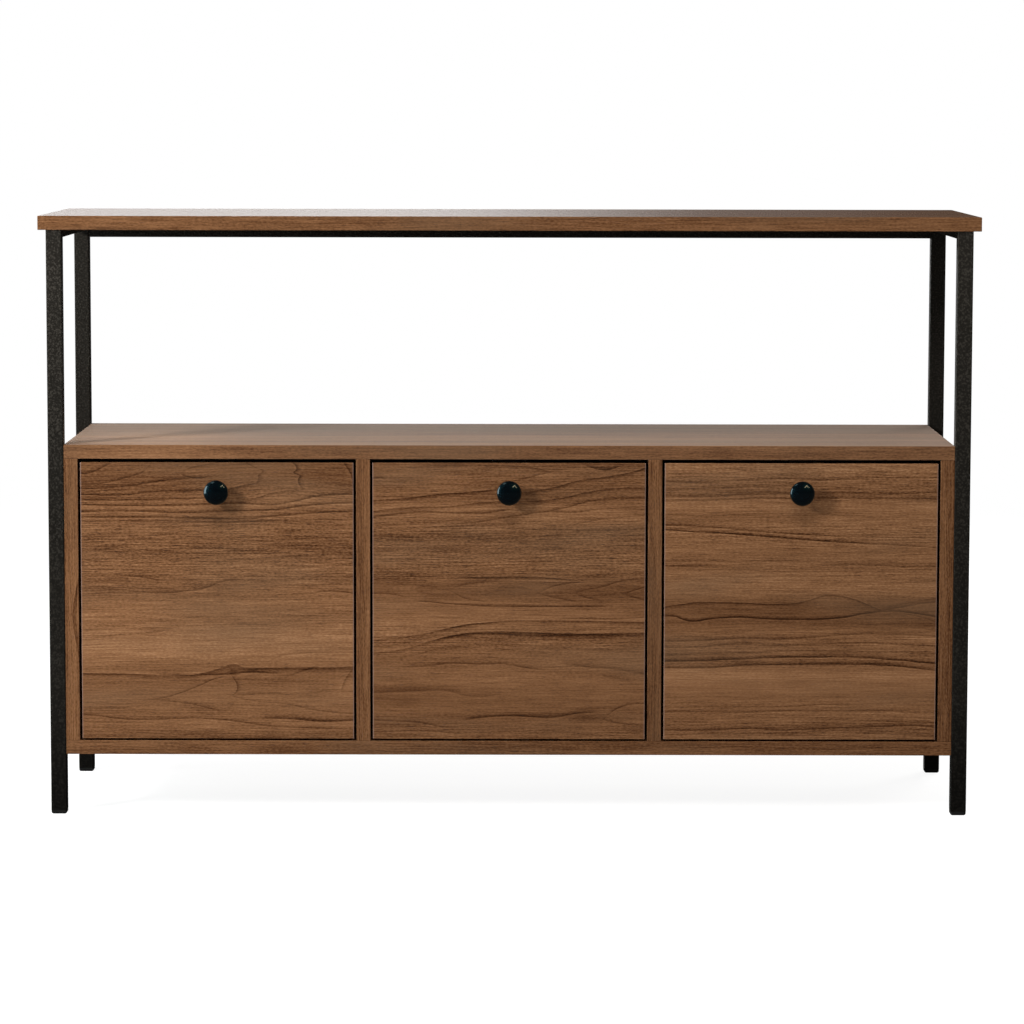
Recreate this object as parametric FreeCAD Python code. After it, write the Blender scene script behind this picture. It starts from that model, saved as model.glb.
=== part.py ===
import FreeCAD, Part
import math
import os

# Office credenza: a board top over an open bay, on a frame of square steel tube, with a cabinet of
# three drop-down doors hung between the legs. Millimetres. +X runs along the credenza, +Y to its back,
# +Z up. The origin is on the floor, under the middle of the whole box, knobs included.

# ---------------------------------------------------------------- driving dimensions
TOP_LENGTH = 1200.0
TOP_DEPTH = 350.0
TOTAL_HEIGHT = 770.0
BOARD = 18.0                 # every wooden panel except the back
EDGE_RADIUS = 0.8            # eased edge of a board

TUBE = 20.0                  # legs and rear rail, square
TUBE_WALL = 1.2
TUBE_CORNER = 1.6
SIDE_RAIL_HEIGHT = 10.0      # flat tube, as wide as a leg
FRAME_INSET_X = 10.0         # top board past the legs, at each end
FRAME_INSET_Y = 2.0          # top board past the legs, front and back
FOOT_HEAD = 5.0              # the part of a foot cap below the tube
FOOT_STEM = 14.0             # the part of a foot cap inside the tube
FOOT_STEM_WALL = 2.0
FOOT_STEM_PLAY = 0.4         # across the tube's hollow
FOOT_CORNER = 3.0            # upright corners of the head
FOOT_LOWER_EDGE = 2.8

CABINET_BOTTOM = 78.0        # above the floor
CABINET_HEIGHT = 400.0
CABINET_DEPTH = 342.0
CABINET_SETBACK = 1.0        # cabinet front behind the legs' front
DOOR_COUNT = 3
BACK_THICKNESS = 3.0
BACK_FROM_REAR = 14.0        # back panel to the cabinet's rear edge
BACK_IN_GROOVE = 5.0
GROOVE_DEPTH = 5.5
GROOVE_PLAY = 0.1            # on each face of the back panel

DOOR_GAP_SIDE = 3.0
DOOR_GAP_TOP = 4.5
DOOR_GAP_BOTTOM = 2.5
KNOB_REACH = 26.0            # from the door's face
KNOB_BELOW_DOOR_TOP = 37.0

HINGE_HEIGHT = 25.0          # hinge axis above the door's lower edge
HINGE_FROM_CENTRE = 120.0
CUP_DIAMETER = 35.0
CUP_DEPTH = 13.3
CUP_WALL = 1.0
CUP_FLANGE = 1.2
PIN_DIAMETER = 3.0
RUNNING_CLEARANCE = 0.05     # radial, between a pin and what turns on it
ARM_WIDTH = 12.0
ARM_THICKNESS = 5.0

STAY_RADIUS = 150.0          # hinge axis to either end of the stay
STAY_CLOSED_ANGLE = 30.0     # between the two ends, seen from the hinge axis
STAY_BEHIND_DOOR = 15.0      # the stay's pivot behind the door's back
STAY_FROM_WALL = 10.3        # the stay bar's middle from the compartment's wall
STAY_BAR_DIAMETER = 6.0
STAY_BAR_PLAY = 0.3          # radial, in the swivel eye
STAY_PIVOT_DIAMETER = 5.0
DOOR_OPEN_ANGLE = 90.0

# ---------------------------------------------------------------- places worked out from them
KNOB_STANDOUT = KNOB_REACH - FRAME_INSET_Y - CABINET_SETBACK
TOP_FRONT = (KNOB_STANDOUT - TOP_DEPTH) / 2
TOP_REAR = TOP_FRONT + TOP_DEPTH
TOP_UNDERSIDE = TOTAL_HEIGHT - BOARD

LEG_OUTER = TOP_LENGTH / 2 - FRAME_INSET_X
LEG_INNER = LEG_OUTER - TUBE
LEG_FRONT = TOP_FRONT + FRAME_INSET_Y
LEG_REAR = TOP_REAR - FRAME_INSET_Y
LEG_Y = {"front": LEG_FRONT + TUBE / 2, "rear": LEG_REAR - TUBE / 2}

CABINET_TOP = CABINET_BOTTOM + CABINET_HEIGHT
CABINET_FRONT = LEG_FRONT + CABINET_SETBACK
CABINET_REAR = CABINET_FRONT + CABINET_DEPTH
CABINET_FLOOR = CABINET_BOTTOM + BOARD
CABINET_CEILING = CABINET_TOP - BOARD
OPENING_WIDTH = (2 * LEG_INNER - (DOOR_COUNT + 1) * BOARD) / DOOR_COUNT
BACK_REAR = CABINET_REAR - BACK_FROM_REAR
BACK_FRONT = BACK_REAR - BACK_THICKNESS

DOOR_WIDTH = OPENING_WIDTH - 2 * DOOR_GAP_SIDE
DOOR_BOTTOM = CABINET_FLOOR + DOOR_GAP_BOTTOM
DOOR_TOP = CABINET_CEILING - DOOR_GAP_TOP
DOOR_FACE = CABINET_FRONT
DOOR_BACK = DOOR_FACE + BOARD
KNOB_Z = DOOR_TOP - KNOB_BELOW_DOOR_TOP
AXIS_Y = DOOR_FACE + BOARD / 2
AXIS_Z = DOOR_BOTTOM + HINGE_HEIGHT

ORIGIN = FreeCAD.Vector(0, 0, 0)
RIGHT = FreeCAD.Vector(1, 0, 0)
BACKWARD = FreeCAD.Vector(0, 1, 0)
UP = FreeCAD.Vector(0, 0, 1)
SIDES = {"left": -1, "right": 1}

os.makedirs("parts", exist_ok=True)


def save(node, *solids):
    """Write one node: a single solid, or a group of separate ones."""
    shape = solids[0] if len(solids) == 1 else Part.makeCompound(list(solids))
    shape.exportStep("parts/" + node + ".step")


# ---------------------------------------------------------------- plain shapes
def about(middle, size):
    """The (low, high) pair of a length centred on a place."""
    return (middle - size / 2, middle + size / 2)


def block(x, y, z):
    """A box from three (low, high) pairs, each in either order."""
    low = FreeCAD.Vector(min(x), min(y), min(z))
    return Part.makeBox(abs(x[1] - x[0]), abs(y[1] - y[0]), abs(z[1] - z[0]), low)


def rod(start, direction, length, diameter):
    """A round bar from its start point."""
    return Part.makeCylinder(diameter / 2, length, FreeCAD.Vector(*start), direction)


def placed(solid, start, direction):
    """A solid drawn from the origin along +Z, moved to a start point and direction."""
    solid.Placement = FreeCAD.Placement(FreeCAD.Vector(*start), FreeCAD.Rotation(UP, direction))
    return solid


def lathe(edges, start, direction):
    """A solid turned from outline edges that begin and end on the Z axis."""
    on_axis = [vertex.Z for edge in edges for vertex in edge.Vertexes if abs(vertex.X) < 1e-6]
    core = Part.makeLine(UP * min(on_axis), UP * max(on_axis))
    profile = Part.Face(Part.Wire(Part.__sortEdges__(edges + [core])))
    return placed(profile.revolve(ORIGIN, UP, 360), start, direction)


def outline(*points):
    """Straight edges through (radius, along) points, for the lathe."""
    corners = [FreeCAD.Vector(radius, 0, along) for radius, along in points]
    return [Part.makeLine(a, b) for a, b in zip(corners, corners[1:])]


def curve(*points):
    """One arc through three (radius, along) points, for the lathe."""
    return Part.Arc(*[FreeCAD.Vector(radius, 0, along) for radius, along in points]).toShape()


def dome(rim_radius, rim_along, top_along):
    """The arc of a ball centred on the axis, from its rim to its top, for the lathe."""
    rise = top_along - rim_along
    ball = (rim_radius ** 2 + rise ** 2) / (2 * rise)
    half_way = rim_radius / 2
    along = top_along - ball + math.copysign(math.sqrt(ball ** 2 - half_way ** 2), ball)
    return curve((rim_radius, rim_along), (half_way, along), (0, top_along))


def eased(solid, radius=EDGE_RADIUS):
    """The same solid with every edge rounded."""
    return solid.makeFillet(radius, solid.Edges)


def edges_along(solid, direction):
    """The solid's straight edges that run one way."""
    found = []
    for edge in solid.Edges:
        run = edge.Vertexes[-1].Point - edge.Vertexes[0].Point
        if run.Length > 0 and abs(run.dot(direction)) > 0.999 * run.Length:
            found.append(edge)
    return found


def tube(width, height, length):
    """A hollow section along +Z, centred on the Z axis, with rounded outer corners."""
    outer = block(about(0, width), about(0, height), (0, length))
    outer = outer.makeFillet(TUBE_CORNER, edges_along(outer, UP))
    hollow = [about(0, side - 2 * TUBE_WALL) for side in (width, height)]
    return outer.cut(block(*hollow, (0, length)))


def plate(corners, x):
    """A flat outline of (y, z) corners, as wide as the (low, high) pair x."""
    points = [FreeCAD.Vector(x[0], y, z) for y, z in corners]
    face = Part.Face(Part.makePolygon(points + points[:1]))
    return face.extrude(RIGHT * (x[1] - x[0]))


def bent_bar(points, thickness, x):
    """A bar of one thickness that follows (y, z) points, with round bends."""
    pieces = []
    for (y0, z0), (y1, z1) in zip(points, points[1:]):
        scale = thickness / 2 / math.hypot(y1 - y0, z1 - z0)
        across = ((z0 - z1) * scale, (y1 - y0) * scale)
        near = [(y0 + across[0], z0 + across[1]), (y0 - across[0], z0 - across[1])]
        far = [(y1 - across[0], z1 - across[1]), (y1 + across[0], z1 + across[1])]
        pieces.append(plate(near + far, x))
    for y, z in points[1:-1]:
        pieces.append(rod((x[0], y, z), RIGHT, x[1] - x[0], thickness))
    return pieces[0].fuse(pieces[1:]).removeSplitter()


# Holes are noted as the fittings are made, and cut when the board or tube they are in is finished.
holes = {}


def drill(node, start, direction, depth, diameter):
    """Note a round hole in a node."""
    holes.setdefault(node, []).append(rod(start, direction, depth, diameter))


def finish(node, solid):
    """Cut a node's holes and write it."""
    if node in holes:
        solid = solid.cut(holes[node])
    save(node, solid.Solids[0])


def each_compartment():
    """The number and the middle x of each door and its compartment, left to right."""
    pitch = OPENING_WIDTH + BOARD
    for index in range(DOOR_COUNT):
        yield index + 1, (index - (DOOR_COUNT - 1) / 2) * pitch


# ---------------------------------------------------------------- screws and bolts
WOOD_SCREW_DIAMETER = 3.0
WOOD_SCREW_HOLE = 3.4        # in the metal or plastic part that is held
WOOD_SCREW_LENGTH = 14.0
WOOD_SCREW_HEAD = 6.4
RAIL_SCREW_DIAMETER = 4.0
RAIL_SCREW_HEAD = 8.0
RAIL_SCREW_IN_BOARD = 12.0
RAIL_SCREW_PLAY = 0.3
BOLT_DIAMETER = 6.0
BOLT_HEAD = 10.5
BOLT_HEAD_HEIGHT = 3.2
BOLT_PLAY = 0.3
HEX_SOCKET = 4.0
HEX_SOCKET_DEPTH = 2.2


def cross_recess(size, depth):
    """The cutter of a cross-shaped driver recess, going up from the origin."""
    narrow = about(0, size / 4)
    wide = about(0, size)
    return block(narrow, wide, (0, depth)).fuse(block(wide, narrow, (0, depth)))


def pan_screw(seat, direction, length, diameter, head):
    """A screw whose head rests on the seat point and whose shank runs the given way."""
    height = 0.28 * head
    shank = outline((diameter / 2, 0), (diameter / 2, length - diameter), (0.3, length), (0, length))
    flank = outline((head / 2, -0.3 * height), (head / 2, 0), (diameter / 2, 0))
    crown = dome(head / 2, -0.3 * height, -height)
    screw = lathe([crown] + flank + shank, seat, direction)
    driver = placed(cross_recess(0.5 * head, 0.6 * height), seat, direction)
    driver.translate(direction * -height)
    return screw.cut(driver)


def socket_bolt(seat, direction, length):
    """A button-head bolt with a hex socket."""
    shank = outline((BOLT_DIAMETER / 2, 0), (BOLT_DIAMETER / 2, length), (0, length))
    rim = (BOLT_HEAD / 2, -0.6)
    shoulder = (0.3 * BOLT_HEAD, -BOLT_HEAD_HEIGHT)
    flank = outline(rim, (BOLT_HEAD / 2, 0), (BOLT_DIAMETER / 2, 0))
    crown = curve(shoulder, (0.44 * BOLT_HEAD, -2.2), rim)
    flat = outline((0, -BOLT_HEAD_HEIGHT), shoulder)
    bolt = lathe(flat + [crown] + flank + shank, seat, direction)
    corner = HEX_SOCKET / math.sqrt(3)
    angles = [math.radians(60 * turn) for turn in range(7)]
    ring = [FreeCAD.Vector(corner * math.cos(a), corner * math.sin(a), 0) for a in angles]
    socket = Part.Face(Part.makePolygon(ring)).extrude(UP * HEX_SOCKET_DEPTH)
    socket = placed(socket, seat, direction)
    socket.translate(direction * -BOLT_HEAD_HEIGHT)
    return bolt.cut(socket)


def wood_screw(seat, direction):
    return pan_screw(seat, direction, WOOD_SCREW_LENGTH, WOOD_SCREW_DIAMETER, WOOD_SCREW_HEAD)


# ---------------------------------------------------------------- steel frame
# Four legs, a flat rail between the legs of each side and a rail between the two rear legs, all
# welded. The cabinet is held by bolts from inside its sides into threaded inserts in the legs. The
# top board is held by screws whose heads lie inside the rails.
BOLT_FROM_CABINET_END = 60.0
BOLT_RECESS_DEPTH = 3.6
BOLT_RECESS_PLAY = 0.3
INSERT_DIAMETER = 8.0
INSERT_LENGTH = 12.0
REAR_RAIL_Z = TOP_UNDERSIDE - TUBE / 2
REAR_RAIL_SCREWS_X = (-400.0, 0.0, 400.0)
SIDE_RAIL_SCREWS_FROM_LEG = 60.0
SCREW_ACCESS_HOLE = 10.0

frame_bolts = []
threaded_inserts = []
top_screws = []


def cabinet_bolt(leg, panel, inner_face, y, z, outward):
    """A bolt from a recess in a cabinet side's inner face into an insert in the leg's inner wall."""
    face = FreeCAD.Vector(inner_face, y, z)
    seat = face + outward * BOLT_RECESS_DEPTH
    joint = face + outward * BOARD
    drill(panel, face, outward, BOLT_RECESS_DEPTH, BOLT_HEAD + 2 * BOLT_RECESS_PLAY)
    drill(panel, seat, outward, BOARD - BOLT_RECESS_DEPTH, BOLT_DIAMETER + 2 * BOLT_PLAY)
    drill(leg, joint, outward, TUBE_WALL, INSERT_DIAMETER)
    insert = rod(joint, outward, INSERT_LENGTH, INSERT_DIAMETER)
    threaded_inserts.append(insert.cut(rod(joint, outward, INSERT_LENGTH, BOLT_DIAMETER)))
    frame_bolts.append(socket_bolt(seat, outward, BOARD - BOLT_RECESS_DEPTH + INSERT_LENGTH))


def top_screw(rail, x, y, height):
    """A screw with its head in a rail, under the top wall, and a hole below it for the driver."""
    seat = (x, y, TOP_UNDERSIDE - TUBE_WALL)
    drill(rail, (x, y, TOP_UNDERSIDE - height), UP, TUBE_WALL, SCREW_ACCESS_HOLE)
    drill(rail, seat, UP, TUBE_WALL, RAIL_SCREW_DIAMETER + 2 * RAIL_SCREW_PLAY)
    drill("top_panel", (x, y, TOP_UNDERSIDE), UP, RAIL_SCREW_IN_BOARD, RAIL_SCREW_DIAMETER)
    length = TUBE_WALL + RAIL_SCREW_IN_BOARD
    top_screws.append(pan_screw(seat, UP, length, RAIL_SCREW_DIAMETER, RAIL_SCREW_HEAD))


def foot_cap(leg_x, leg_y):
    """A plastic cap: a rounded head under the leg and a hollow square stem inside it."""
    head = block(about(leg_x, TUBE), about(leg_y, TUBE), (0, FOOT_HEAD))
    head = head.makeFillet(FOOT_CORNER, edges_along(head, UP))
    underside = min(head.Faces, key=lambda face: face.CenterOfMass.z)
    head = head.makeFillet(FOOT_LOWER_EDGE, underside.Edges)
    stem_size = TUBE - 2 * TUBE_WALL - FOOT_STEM_PLAY
    stem_z = (FOOT_HEAD, FOOT_HEAD + FOOT_STEM)
    outer, core = [block(about(leg_x, size), about(leg_y, size), stem_z)
                   for size in (stem_size, stem_size - 2 * FOOT_STEM_WALL)]
    return head.fuse(outer.cut(core)).Solids[0]


for side, sign in SIDES.items():
    outward = RIGHT * sign
    leg_x = sign * (LEG_OUTER - TUBE / 2)
    rail = "side_rail_" + side
    rail_y = (LEG_FRONT + TUBE, LEG_REAR - TUBE)
    for y in (rail_y[0] + SIDE_RAIL_SCREWS_FROM_LEG, rail_y[1] - SIDE_RAIL_SCREWS_FROM_LEG):
        top_screw(rail, leg_x, y, SIDE_RAIL_HEIGHT)
    rail_tube = tube(TUBE, SIDE_RAIL_HEIGHT, rail_y[1] - rail_y[0])
    rail_start = (leg_x, rail_y[0], TOP_UNDERSIDE - SIDE_RAIL_HEIGHT / 2)
    finish(rail, placed(rail_tube, rail_start, BACKWARD))

    for end, y in LEG_Y.items():
        leg = "leg_" + end + "_" + side
        for z in (CABINET_BOTTOM + BOLT_FROM_CABINET_END, CABINET_TOP - BOLT_FROM_CABINET_END):
            cabinet_bolt(leg, "cabinet_side_" + side, sign * (LEG_INNER - BOARD), y, z, outward)
        leg_tube = tube(TUBE, TUBE, TOP_UNDERSIDE - FOOT_HEAD)
        finish(leg, placed(leg_tube, (leg_x, y, FOOT_HEAD), UP))
        save("foot_cap_" + end + "_" + side, foot_cap(leg_x, y))

for x in REAR_RAIL_SCREWS_X:
    top_screw("rear_rail", x, LEG_Y["rear"], TUBE)
rear_rail_start = (-LEG_INNER, LEG_Y["rear"], REAR_RAIL_Z)
finish("rear_rail", placed(tube(TUBE, TUBE, 2 * LEG_INNER), rear_rail_start, RIGHT))

save("frame_bolts", *frame_bolts)
save("threaded_inserts", *threaded_inserts)
save("top_panel_screws", *top_screws)

top_panel = block(about(0, TOP_LENGTH), (TOP_FRONT, TOP_REAR), (TOP_UNDERSIDE, TOTAL_HEIGHT))
finish("top_panel", eased(top_panel))

# ---------------------------------------------------------------- cabinet joints
# The top and bottom lie over and under four upright panels. Each upright is held at both ends by
# two cam fittings and two dowels.
CAM_DIAMETER = 15.0
CAM_DEPTH = 12.5
CAM_FROM_END = 24.0
CAM_RECESS = 8.0
CAM_RECESS_DEPTH = 1.5
CAM_BOLT_DIAMETER = 6.0
CAM_BOLT_IN_PANEL = 11.0
DOWEL_DIAMETER = 8.0
DOWEL_IN_PANEL = 13.0
DOWEL_IN_UPRIGHT = 17.0
CAMS_Y = (CABINET_FRONT + 45.0, BACK_FRONT - 45.0)
DOWELS_Y = (CABINET_FRONT + 75.0, BACK_FRONT - 75.0)
DIVIDER_MIDDLE = (OPENING_WIDTH + BOARD) / 2

uprights = {
    "cabinet_side_left": (-(LEG_INNER - BOARD / 2), 1),
    "divider_left": (-DIVIDER_MIDDLE, -1),
    "divider_right": (DIVIDER_MIDDLE, 1),
    "cabinet_side_right": (LEG_INNER - BOARD / 2, -1),
}
joint_levels = {"cabinet_bottom": (CABINET_FLOOR, 1), "cabinet_top": (CABINET_CEILING, -1)}
cam_discs = []
cam_bolts = []
dowels = []

for upright, (middle, cam_side) in uprights.items():
    into_upright = RIGHT * -cam_side
    cam_face = middle + cam_side * BOARD / 2
    for panel, (joint_z, sign) in joint_levels.items():
        along = UP * sign
        for y in CAMS_Y:
            cam_start = (cam_face, y, joint_z + sign * CAM_FROM_END)
            bolt_start = (middle, y, joint_z - sign * CAM_BOLT_IN_PANEL)
            bolt_length = CAM_BOLT_IN_PANEL + CAM_FROM_END - 1.0
            drill(upright, cam_start, into_upright, CAM_DEPTH, CAM_DIAMETER)
            drill(upright, (middle, y, joint_z), along, CAM_FROM_END, CAM_BOLT_DIAMETER + 0.6)
            drill(panel, bolt_start, along, CAM_BOLT_IN_PANEL, CAM_BOLT_DIAMETER)
            disc = rod(cam_start, into_upright, CAM_DEPTH, CAM_DIAMETER)
            disc = disc.cut(rod((middle, y, joint_z), along, CAM_FROM_END, CAM_BOLT_DIAMETER + 0.6))
            driver = placed(cross_recess(CAM_RECESS, CAM_RECESS_DEPTH), cam_start, into_upright)
            cam_discs.append(disc.cut(driver).Solids[0])
            cam_bolts.append(rod(bolt_start, along, bolt_length, CAM_BOLT_DIAMETER))
        for y in DOWELS_Y:
            start = (middle, y, joint_z - sign * DOWEL_IN_PANEL)
            drill(panel, start, along, DOWEL_IN_PANEL, DOWEL_DIAMETER)
            drill(upright, (middle, y, joint_z), along, DOWEL_IN_UPRIGHT, DOWEL_DIAMETER)
            dowel = rod(start, along, DOWEL_IN_PANEL + DOWEL_IN_UPRIGHT, DOWEL_DIAMETER)
            dowels.append(dowel.makeChamfer(0.8, [e for e in dowel.Edges if e.Closed]))

save("cam_discs", *cam_discs)
save("cam_bolts", *cam_bolts)
save("dowels", *dowels)

# ---------------------------------------------------------------- doors, knobs and door hinges
# Each door turns on two cup hinges. The cup is let into the door's back with the pin on the
# door's own mid-plane. A swan-neck arm reaches out of the cup, over the door's lower edge when the
# door is down, and stands on a plate screwed to the cabinet floor.
DOOR_SCREW_DIAMETER = 4.0
KNOB_SCREW_HEAD = 8.0
KNOB_SCREW_IN_KNOB = 8.0
CUP_SCREW_SPACING = 48.0
NECK_RISE = 14.5             # the arm's level run above and behind the pin
ARM_BEHIND_PIN = 31.0        # the arm's upright run behind the pin
ARM_FOOT_END = 62.0
ARM_FOOT_THICKNESS = 3.0
PLATE_THICKNESS = 2.0
PLATE_WIDTH = 42.0
PLATE_Y = (36.0, 58.0)       # behind the pin
PLATE_SCREW_SPACING = 28.0
ARM_EYE_DIAMETER = 5.8

fitting_screws = []
hinge_arms = []
hinge_plates = []


def knob_shape(middle):
    """A turned mushroom knob: a small foot with a screw hole, a waisted neck and a low dome."""
    bore = DOOR_SCREW_DIAMETER / 2
    foot = outline((0, KNOB_SCREW_IN_KNOB), (bore, KNOB_SCREW_IN_KNOB), (bore, 0), (8.0, 0), (8.0, 1.6))
    neck = curve((8.0, 1.6), (5.4, 7.0), (8.6, 13.0))
    flare = curve((8.6, 13.0), (11.6, 15.6), (15.0, 16.8))
    rim = curve((15.0, 16.8), (16.0, 18.6), (15.0, 20.6))
    cap = dome(15.0, 20.6, KNOB_REACH)
    return lathe(foot + [neck, flare, rim, cap], (middle, DOOR_FACE, KNOB_Z), -BACKWARD)


def hinge_cup(x):
    """A pressed steel cup with its screw flange, open to the back."""
    floor_y = DOOR_BACK - CUP_DEPTH
    mouth_y = DOOR_BACK + CUP_FLANGE
    ears_length = CUP_SCREW_SPACING + 13.0
    ears = block(about(x, ears_length), (DOOR_BACK, mouth_y), about(AXIS_Z, 13.0))
    ears = ears.makeFillet(5.0, edges_along(ears, BACKWARD))
    collar = rod((x, DOOR_BACK, AXIS_Z), BACKWARD, CUP_FLANGE, CUP_DIAMETER + 4.0)
    cup = rod((x, floor_y, AXIS_Z), BACKWARD, CUP_DEPTH, CUP_DIAMETER).fuse([ears, collar])
    hollow_start = (x, floor_y + CUP_WALL, AXIS_Z)
    hollow = rod(hollow_start, BACKWARD, mouth_y - floor_y, CUP_DIAMETER - 2 * CUP_WALL)
    pin_hole = rod((x - CUP_DIAMETER / 2, AXIS_Y, AXIS_Z), RIGHT, CUP_DIAMETER, PIN_DIAMETER)
    screw_holes = [rod((screw_x, DOOR_BACK, AXIS_Z), BACKWARD, CUP_FLANGE, WOOD_SCREW_HOLE)
                   for screw_x in about(x, CUP_SCREW_SPACING)]
    return cup.cut([hollow, pin_hole] + screw_holes).Solids[0]


def hinge_arm(x):
    """The fixed swan neck: an eye on the pin, a rise at 45 degrees, a level run and a foot."""
    width = about(x, ARM_WIDTH)
    foot_z = CABINET_FLOOR + PLATE_THICKNESS
    level_z = AXIS_Z + NECK_RISE
    upright_y = AXIS_Y + ARM_BEHIND_PIN
    bends = [(AXIS_Y, AXIS_Z), (AXIS_Y + NECK_RISE, level_z), (upright_y, level_z)]
    neck = bent_bar(bends + [(upright_y, foot_z)], ARM_THICKNESS, width)
    eye = rod((width[0], AXIS_Y, AXIS_Z), RIGHT, ARM_WIDTH, ARM_EYE_DIAMETER)
    foot_y = (upright_y - ARM_THICKNESS / 2, AXIS_Y + ARM_FOOT_END)
    foot = block(width, foot_y, (foot_z, foot_z + ARM_FOOT_THICKNESS))
    bore_diameter = PIN_DIAMETER + 2 * RUNNING_CLEARANCE
    bore = rod((width[0], AXIS_Y, AXIS_Z), RIGHT, ARM_WIDTH, bore_diameter)
    screw_y = AXIS_Y + sum(PLATE_Y) / 2
    screw_hole = rod((x, screw_y, foot_z), UP, ARM_FOOT_THICKNESS, WOOD_SCREW_HOLE)
    return neck.fuse([eye, foot]).removeSplitter().cut([bore, screw_hole]).Solids[0]


def hinge_plate(x):
    """The steel plate under the arm's foot, with its three screws."""
    y_range = [AXIS_Y + y for y in PLATE_Y]
    solid = block(about(x, PLATE_WIDTH), y_range, (CABINET_FLOOR, CABINET_FLOOR + PLATE_THICKNESS))
    solid = solid.makeFillet(4.0, edges_along(solid, UP))
    screw_y = sum(y_range) / 2
    for offset in (-PLATE_SCREW_SPACING / 2, 0, PLATE_SCREW_SPACING / 2):
        seat_height = PLATE_THICKNESS if offset else PLATE_THICKNESS + ARM_FOOT_THICKNESS
        seat = (x + offset, screw_y, CABINET_FLOOR + seat_height)
        fitting_screws.append(wood_screw(seat, -UP))
        floor_point = (x + offset, screw_y, CABINET_FLOOR)
        drill("cabinet_bottom", floor_point, -UP, WOOD_SCREW_LENGTH - seat_height, WOOD_SCREW_DIAMETER)
        solid = solid.cut(rod(floor_point, UP, PLATE_THICKNESS, WOOD_SCREW_HOLE))
    return solid.Solids[0]


door_screws = {}
for number, middle in each_compartment():
    door = "door_" + str(number)
    save("knob_" + str(number), knob_shape(middle))
    knob_screw_seat = (middle, DOOR_BACK, KNOB_Z)
    drill(door, knob_screw_seat, -BACKWARD, BOARD, DOOR_SCREW_DIAMETER + 0.4)
    knob_screw_length = BOARD + KNOB_SCREW_IN_KNOB
    knob_screw = pan_screw(
        knob_screw_seat, -BACKWARD, knob_screw_length, DOOR_SCREW_DIAMETER, KNOB_SCREW_HEAD)
    save("knob_screw_" + str(number), knob_screw)

    cups = []
    pins = []
    door_screws[number] = []
    for x in about(middle, 2 * HINGE_FROM_CENTRE):
        cups.append(hinge_cup(x))
        pin_x = about(x, CUP_DIAMETER - 0.4)
        pins.append(rod((pin_x[0], AXIS_Y, AXIS_Z), RIGHT, pin_x[1] - pin_x[0], PIN_DIAMETER))
        hinge_arms.append(hinge_arm(x))
        hinge_plates.append(hinge_plate(x))
        drill(door, (x, DOOR_BACK, AXIS_Z), -BACKWARD, CUP_DEPTH, CUP_DIAMETER)
        for screw_x in about(x, CUP_SCREW_SPACING):
            seat = (screw_x, DOOR_BACK + CUP_FLANGE, AXIS_Z)
            door_screws[number].append(wood_screw(seat, -BACKWARD))
            depth = WOOD_SCREW_LENGTH - CUP_FLANGE
            drill(door, (screw_x, DOOR_BACK, AXIS_Z), -BACKWARD, depth, WOOD_SCREW_DIAMETER)
    save("hinge_cups_" + str(number), *cups)
    save("hinge_pins_" + str(number), *pins)

save("hinge_arms", *hinge_arms)
save("hinge_plates", *hinge_plates)

# ---------------------------------------------------------------- flap stays
# A bar pivots on a bracket on the door's back and slides through a swivel eye on the compartment's
# left wall. Both pivots are the same distance from the hinge axis, so the bar turns through half the
# door's angle. A collar on the bar's end meets the eye when the door is level.
EYE_DIAMETER = 14.0
EYE_LENGTH = 14.0
WALL_BRACKET_THICKNESS = 2.0
WALL_BRACKET_SIZE = (44.0, 18.0)
WALL_BRACKET_SCREWS = 30.0
PIVOT_SIDE_PLAY = 0.3
EYE_BORE_DEPTH = 4.3
STUB_LENGTH = 4.2
RING_DIAMETER = 11.0
COLLAR_DIAMETER = 11.0
COLLAR_LENGTH = 4.0
LUG_THICKNESS = 2.0
LUG_RADIUS = 6.5
DOOR_BRACKET_LENGTH = 34.0
DOOR_BRACKET_HEIGHT = 20.0
PIVOT_HEAD_DIAMETER = 8.0
PIVOT_HEAD_THICKNESS = 1.2

door_pivot_angle = math.acos((BOARD / 2 + STAY_BEHIND_DOOR) / STAY_RADIUS)
wall_pivot_angle = door_pivot_angle - math.radians(STAY_CLOSED_ANGLE)
DOOR_PIVOT = (AXIS_Y + STAY_RADIUS * math.cos(door_pivot_angle),
              AXIS_Z + STAY_RADIUS * math.sin(door_pivot_angle))
WALL_PIVOT = (AXIS_Y + STAY_RADIUS * math.cos(wall_pivot_angle),
              AXIS_Z + STAY_RADIUS * math.sin(wall_pivot_angle))
bar_run = FreeCAD.Vector(0, WALL_PIVOT[0] - DOOR_PIVOT[0], WALL_PIVOT[1] - DOOR_PIVOT[1])
BAR_DIRECTION = bar_run / bar_run.Length
open_half_angle = math.radians(STAY_CLOSED_ANGLE + DOOR_OPEN_ANGLE) / 2
OPEN_PIVOT_DISTANCE = 2 * STAY_RADIUS * math.sin(open_half_angle)
COLLAR_START = OPEN_PIVOT_DISTANCE + EYE_DIAMETER / 2 + PIVOT_SIDE_PLAY


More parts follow.
